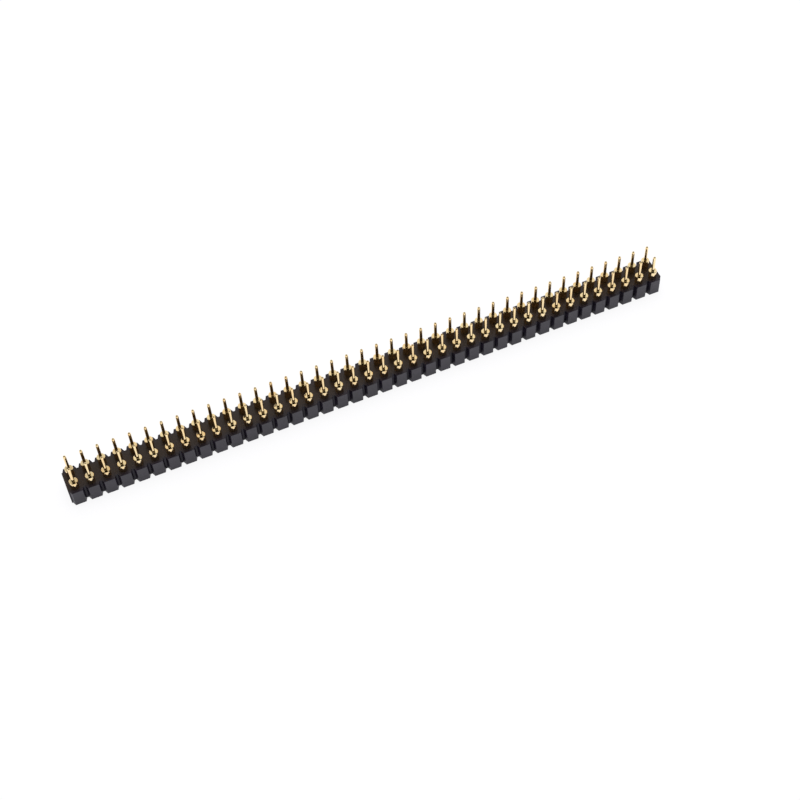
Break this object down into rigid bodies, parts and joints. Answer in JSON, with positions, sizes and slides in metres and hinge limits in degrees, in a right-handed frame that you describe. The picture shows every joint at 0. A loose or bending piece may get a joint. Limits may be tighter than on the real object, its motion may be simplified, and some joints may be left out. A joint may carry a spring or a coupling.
{
  "type": "machined female header strip",
  "caption": "Straight board-mount socket strip: turned, gold-plated contacts with slit spring clips and solder tails, pressed into a black insulator with snap notches.",
  "frame": {"origin": "centre of the socket face, which the strip rests on", "axes": "+X along the positions, +Y across the rows, +Z along the solder tails, away from the sockets"},
  "size_m": [0.1016, 0.005, 0.0076],
  "materials": {
    "insulator_black": "moulded, fine spark-eroded texture",
    "sleeve_gold": "turned, gold-plated, bright",
    "clip_gold": "stamped and rolled, gold-plated, satin"
  },
  "bodies": {
    "root": {"insulator": "insulator_black", "sleeves_01": "sleeve_gold", "sleeves_02": "sleeve_gold", "sleeves_03": "sleeve_gold", "sleeves_04": "sleeve_gold", "sleeves_05": "sleeve_gold", "sleeves_06": "sleeve_gold", "sleeves_07": "sleeve_gold", "sleeves_08": "sleeve_gold", "sleeves_09": "sleeve_gold", "sleeves_10": "sleeve_gold", "sleeves_11": "sleeve_gold", "sleeves_12": "sleeve_gold", "sleeves_13": "sleeve_gold", "sleeves_14": "sleeve_gold", "sleeves_15": "sleeve_gold", "sleeves_16": "sleeve_gold", "sleeves_17": "sleeve_gold", "sleeves_18": "sleeve_gold", "sleeves_19": "sleeve_gold", "sleeves_20": "sleeve_gold", "sleeves_21": "sleeve_gold", "sleeves_22": "sleeve_gold", "sleeves_23": "sleeve_gold", "sleeves_24": "sleeve_gold", "sleeves_25": "sleeve_gold", "sleeves_26": "sleeve_gold", "sleeves_27": "sleeve_gold", "sleeves_28": "sleeve_gold", "sleeves_29": "sleeve_gold", "sleeves_30": "sleeve_gold", "sleeves_31": "sleeve_gold", "sleeves_32": "sleeve_gold", "sleeves_33": "sleeve_gold", "sleeves_34": "sleeve_gold", "sleeves_35": "sleeve_gold", "sleeves_36": "sleeve_gold", "sleeves_37": "sleeve_gold", "sleeves_38": "sleeve_gold", "sleeves_39": "sleeve_gold", "sleeves_40": "sleeve_gold", "clips_01": "clip_gold", "clips_02": "clip_gold", "clips_03": "clip_gold", "clips_04": "clip_gold", "clips_05": "clip_gold", "clips_06": "clip_gold", "clips_07": "clip_gold", "clips_08": "clip_gold", "clips_09": "clip_gold", "clips_10": "clip_gold"}
  },
  "joints": []
}
